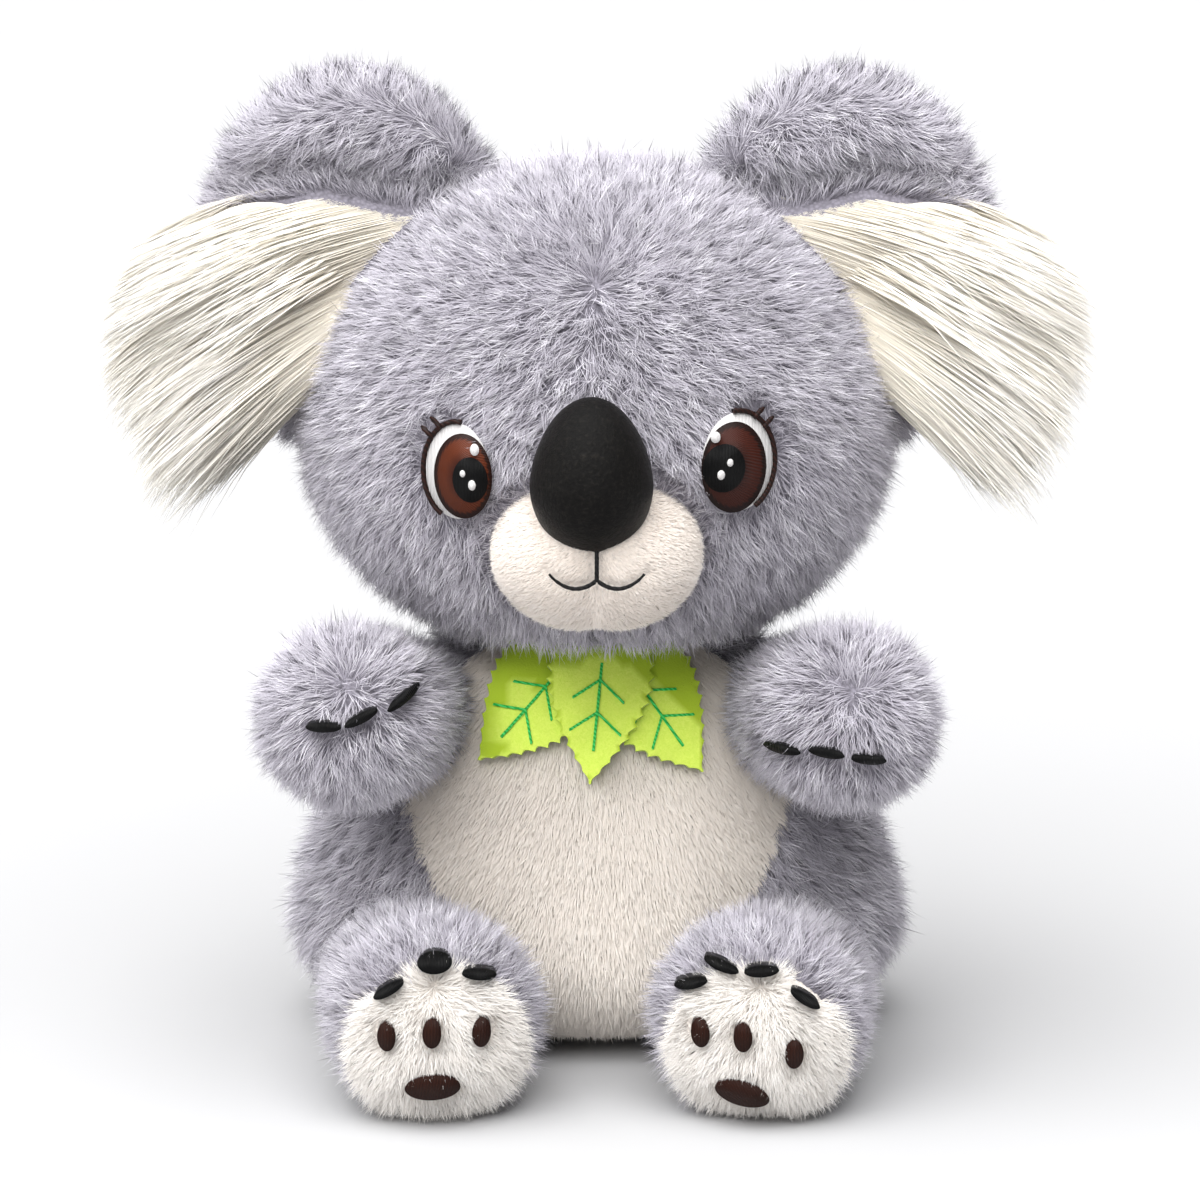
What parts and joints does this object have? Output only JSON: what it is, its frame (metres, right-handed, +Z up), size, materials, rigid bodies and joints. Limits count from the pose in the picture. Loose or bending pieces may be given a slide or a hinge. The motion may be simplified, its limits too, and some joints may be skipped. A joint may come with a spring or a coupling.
{
  "type": "plush koala",
  "caption": "Sitting plush koala with a turning head, folding ears, swinging arms, splaying legs and a spray of felt leaves under its chin.",
  "frame": {"origin": "centre of the toy's outline on the floor it sits on", "axes": "+Z up, the toy faces -Y, +X to the right as seen from the front"},
  "size_m": [0.282, 0.185, 0.299],
  "materials": {
    "grey_plush": "long-pile plush, lilac grey",
    "white_plush": "short-pile plush, warm white",
    "cream_plush": "long loose pile, cream",
    "stuffing": "polyester fibre filling",
    "black_suede": "matte microsuede",
    "black_thread": "satin-stitch embroidery",
    "dark_thread": "satin-stitch embroidery, dark brown",
    "brown_thread": "satin-stitch embroidery, red brown",
    "white_thread": "satin-stitch embroidery, white",
    "lime_felt": "pinked felt, lime green",
    "green_thread": "satin-stitch embroidery, green"
  },
  "bodies": {
    "torso": {"body_skin": "grey_plush", "belly_panel": "white_plush", "body_fill": "stuffing"},
    "head": {"head_skin": "grey_plush", "head_fill": "stuffing", "muzzle_pad": "white_plush", "nose_pad": "black_suede", "mouth_stitch": "black_thread", "lip_stitch": "black_thread", "eye_white_left": "white_thread", "iris_left": "brown_thread", "pupil_left": "black_thread", "eye_white_right": "white_thread", "iris_right": "brown_thread", "pupil_right": "black_thread"},
    "ear_left": {"ear_back_left": "grey_plush", "ear_tuft_left": "cream_plush"},
    "ear_right": {"ear_back_right": "grey_plush", "ear_tuft_right": "cream_plush"},
    "arm_left": {"arm_skin_left": "grey_plush", "arm_fill_left": "stuffing", "paw_claw_left_1": "black_thread", "paw_claw_left_2": "black_thread", "paw_claw_left_3": "black_thread"},
    "arm_right": {"arm_skin_right": "grey_plush", "arm_fill_right": "stuffing", "paw_claw_right_1": "black_thread", "paw_claw_right_2": "black_thread", "paw_claw_right_3": "black_thread"},
    "leg_left": {"leg_skin_left": "grey_plush", "leg_fill_left": "stuffing", "sole_left": "white_plush", "foot_claw_left_1": "black_thread", "foot_claw_left_2": "black_thread", "foot_claw_left_3": "black_thread", "toe_pad_left_1": "dark_thread", "toe_pad_left_2": "dark_thread", "toe_pad_left_3": "dark_thread", "sole_pad_left": "dark_thread"},
    "leg_right": {"leg_skin_right": "grey_plush", "leg_fill_right": "stuffing", "sole_right": "white_plush", "foot_claw_right_1": "black_thread", "foot_claw_right_2": "black_thread", "foot_claw_right_3": "black_thread", "foot_claw_right_4": "black_thread", "toe_pad_right_1": "dark_thread", "toe_pad_right_2": "dark_thread", "toe_pad_right_3": "dark_thread", "sole_pad_right": "dark_thread"},
    "leaves": {"leaf_middle": "lime_felt", "leaf_vein_middle": "green_thread", "leaf_left": "lime_felt", "leaf_vein_left": "green_thread", "leaf_right": "lime_felt", "leaf_vein_right": "green_thread"}
  },
  "joints": [
    {"name": "head_turn", "type": "hinge", "parent": "torso", "child": "head", "pos_m": [0, 0.01, 0.13], "axis": [0, 0, 1], "range_deg": [-25, 25], "stiffness_Nm_per_rad": 0.1},
    {"name": "ear_fold_left", "type": "hinge", "parent": "head", "child": "ear_left", "pos_m": [-0.0655, 0.012, 0.2495], "axis": [-0.5299, 0, -0.848], "range_deg": [-10, 10], "stiffness_Nm_per_rad": 0.05},
    {"name": "ear_fold_right", "type": "hinge", "parent": "head", "child": "ear_right", "pos_m": [0.0655, 0.012, 0.2495], "axis": [0.5299, 0, -0.848], "range_deg": [-10, 10], "stiffness_Nm_per_rad": 0.05},
    {"name": "arm_swing_left", "type": "hinge", "parent": "torso", "child": "arm_left", "pos_m": [-0.059, -0.003, 0.104], "axis": [-1, 0, 0], "range_deg": [-20, 10], "stiffness_Nm_per_rad": 0.15},
    {"name": "arm_swing_right", "type": "hinge", "parent": "torso", "child": "arm_right", "pos_m": [0.059, -0.003, 0.104], "axis": [-1, 0, 0], "range_deg": [-20, 10], "stiffness_Nm_per_rad": 0.15},
    {"name": "leg_splay_left", "type": "hinge", "parent": "torso", "child": "leg_left", "pos_m": [-0.051, -0.036, 0.02953], "axis": [0, 0, -1], "range_deg": [-5, 20], "stiffness_Nm_per_rad": 0.15},
    {"name": "leg_splay_right", "type": "hinge", "parent": "torso", "child": "leg_right", "pos_m": [0.051, -0.036, 0.02953], "axis": [0, 0, 1], "range_deg": [-5, 20], "stiffness_Nm_per_rad": 0.15},
    {"name": "leaves_lift", "type": "hinge", "parent": "torso", "child": "leaves", "pos_m": [0, -0.0095, 0.13], "axis": [-1, 0, 0], "range_deg": [0, 25], "stiffness_Nm_per_rad": 0.002}
  ]
}
